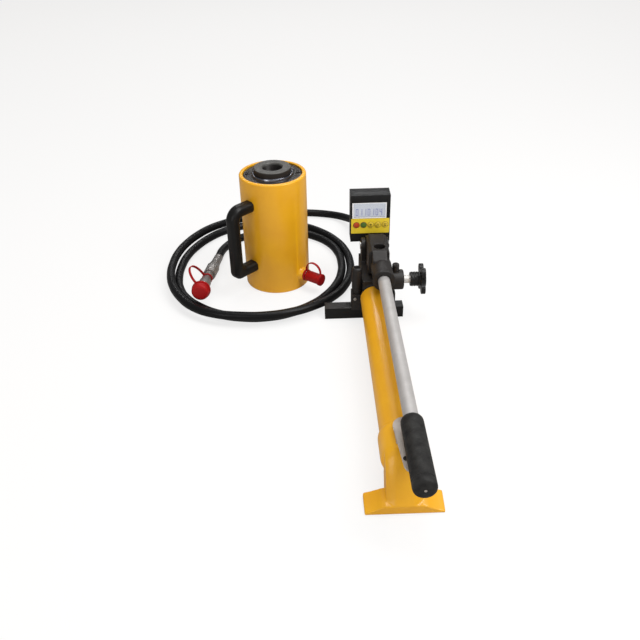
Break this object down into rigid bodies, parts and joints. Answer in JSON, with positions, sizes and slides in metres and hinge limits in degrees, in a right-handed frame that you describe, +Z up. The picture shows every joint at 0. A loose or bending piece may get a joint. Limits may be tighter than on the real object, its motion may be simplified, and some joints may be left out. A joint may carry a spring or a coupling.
{
  "type": "anchor pull tester",
  "caption": "Hydraulic anchor pull tester: yellow hollow ram with carry handle, hand pump with lever and digital gauge, joined by a coiled black hose with a capped coupler.",
  "frame": {"origin": "axis of the ram's through hole at the ram's base, on the floor", "axes": "+Z up along the ram's hole, -Y towards the pump's foot and lever grip, +X from the ram to the pump"},
  "size_m": [0.4485, 0.8925, 0.215],
  "materials": {
    "black_paint": "satin black paint",
    "black_plastic": "textured black plastic",
    "black_rubber": "smooth black rubber",
    "black_steel": "blackened steel",
    "bright_steel": "bright plated steel",
    "bronze": "bearing bronze",
    "cell_wrap": "battery wrap",
    "display_face": "grey liquid crystal face",
    "display_glass": "clear window",
    "green_board": "circuit board",
    "green_key": "green key",
    "grip_rubber": "grained black rubber",
    "knob_plastic": "black knob plastic",
    "red_key": "red key",
    "red_rubber": "red dust cap rubber",
    "seal_rubber": "seal rubber",
    "spring_steel": "spring steel",
    "turned_steel": "turned steel",
    "yellow_key": "yellow key",
    "yellow_paint": "gloss yellow enamel",
    "yellow_panel": "printed yellow panel"
  },
  "bodies": {
    "tester": {"ram_body": "yellow_paint", "centre_tube": "turned_steel", "return_spring": "spring_steel", "gland_nut": "black_steel", "rod_bearing": "bronze", "rod_wiper": "bright_steel", "ram_nipple": "bright_steel", "carry_handle": "black_paint", "handle_studs": "black_steel", "hose": "black_rubber", "hose_fitting": "bright_steel", "hose_ferrule": "bright_steel", "coupler_body": "bright_steel", "pump_head": "black_paint", "cross_bar": "black_paint", "bar_screws": "black_steel", "reservoir_tube": "yellow_paint", "tube_seals": "seal_rubber", "suction_tube": "turned_steel", "foot": "yellow_paint", "side_block": "black_paint", "filler_plug": "black_paint", "drain_screw": "bright_steel", "plunger_gland": "black_steel", "pivot_pin": "turned_steel", "lever_rest": "bright_steel", "release_block": "black_paint", "bleed_screw": "black_paint", "gauge_adaptor": "bright_steel", "pressure_sensor": "turned_steel", "gauge_case": "black_plastic", "gauge_back": "black_plastic", "key_panel": "yellow_panel", "lcd_window": "display_glass", "lcd_display": "display_face", "circuit_board": "green_board", "battery": "cell_wrap", "case_screws": "bright_steel"},
    "plunger": {"ram_plunger": "bright_steel", "plunger_saddle": "black_steel", "piston_seals": "seal_rubber"},
    "port_cap": {"ram_cap": "red_rubber", "ram_cap_strap": "red_rubber"},
    "coupler_cap": {"hose_cap": "red_rubber", "hose_cap_strap": "red_rubber"},
    "sleeve": {"coupler_sleeve": "bright_steel"},
    "lever": {"lever_socket": "black_paint", "lever_tube": "bright_steel", "lever_grip": "grip_rubber", "lever_screw": "black_steel", "drive_pin": "turned_steel"},
    "pump_rod": {"pump_plunger": "turned_steel"},
    "needle": {"release_needle": "turned_steel"},
    "release": {"release_stem": "bright_steel", "release_knob": "knob_plastic"},
    "red_key": {"key_red": "red_key"},
    "green_key": {"key_green": "green_key"},
    "left_key": {"key_left": "yellow_key"},
    "middle_key": {"key_middle": "yellow_key"},
    "right_key": {"key_right": "yellow_key"}
  },
  "joints": [
    {"name": "plunger_slide", "type": "slide", "parent": "tester", "child": "plunger", "axis": [0, 0, 1], "range_m": [0, 0.08], "stiffness_N_per_m": 600, "springref_m": -0.03, "deforming": ["return_spring"]},
    {"name": "lever_swing", "type": "hinge", "parent": "tester", "child": "lever", "pos_m": [0.1705, -0.074, 0.1], "axis": [-1, 0, 0], "range_deg": [0, 50]},
    {"name": "pump_rod_slide", "type": "slide", "parent": "tester", "child": "pump_rod", "axis": [0, 0, 1], "range_m": [0, 0.0326]},
    {"name": "needle_lift", "type": "slide", "parent": "tester", "child": "needle", "axis": [1, 0, 0], "range_m": [0, 0.0016]},
    {"name": "release_turn", "type": "hinge", "parent": "tester", "child": "release", "pos_m": [0.232, -0.14, 0.07], "axis": [1, 0, 0], "range_deg": [0, 360]},
    {"name": "port_cap_pull", "type": "slide", "parent": "tester", "child": "port_cap", "axis": [0.788, -0.6157, 0], "range_m": [0, 0.022]},
    {"name": "coupler_cap_pull", "type": "slide", "parent": "tester", "child": "coupler_cap", "axis": [-0.1038, -0.9861, 0.1297], "range_m": [0, 0.012]},
    {"name": "sleeve_turn", "type": "hinge", "parent": "tester", "child": "sleeve", "pos_m": [-0.12027, -0.01303, 0.02358], "axis": [-0.1038, -0.9861, 0.1297], "continuous": true},
    {"name": "red_key_press", "type": "slide", "parent": "tester", "child": "red_key", "axis": [0, 1, 0], "range_m": [0, 0.0006], "stiffness_N_per_m": 500, "springref_m": -0.0004},
    {"name": "green_key_press", "type": "slide", "parent": "tester", "child": "green_key", "axis": [0, 1, 0], "range_m": [0, 0.0006], "stiffness_N_per_m": 500, "springref_m": -0.0004},
    {"name": "left_key_press", "type": "slide", "parent": "tester", "child": "left_key", "axis": [0, 1, 0], "range_m": [0, 0.0006], "stiffness_N_per_m": 500, "springref_m": -0.0004},
    {"name": "middle_key_press", "type": "slide", "parent": "tester", "child": "middle_key", "axis": [0, 1, 0], "range_m": [0, 0.0006], "stiffness_N_per_m": 500, "springref_m": -0.0004},
    {"name": "right_key_press", "type": "slide", "parent": "tester", "child": "right_key", "axis": [0, 1, 0], "range_m": [0, 0.0006], "stiffness_N_per_m": 500, "springref_m": -0.0004}
  ],
  "couplings": [
    {"joint": "pump_rod_slide", "follows": "lever_swing", "m_per_rad": 0.03681},
    {"joint": "needle_lift", "follows": "release_turn", "m_per_rad": 0.000254}
  ]
}
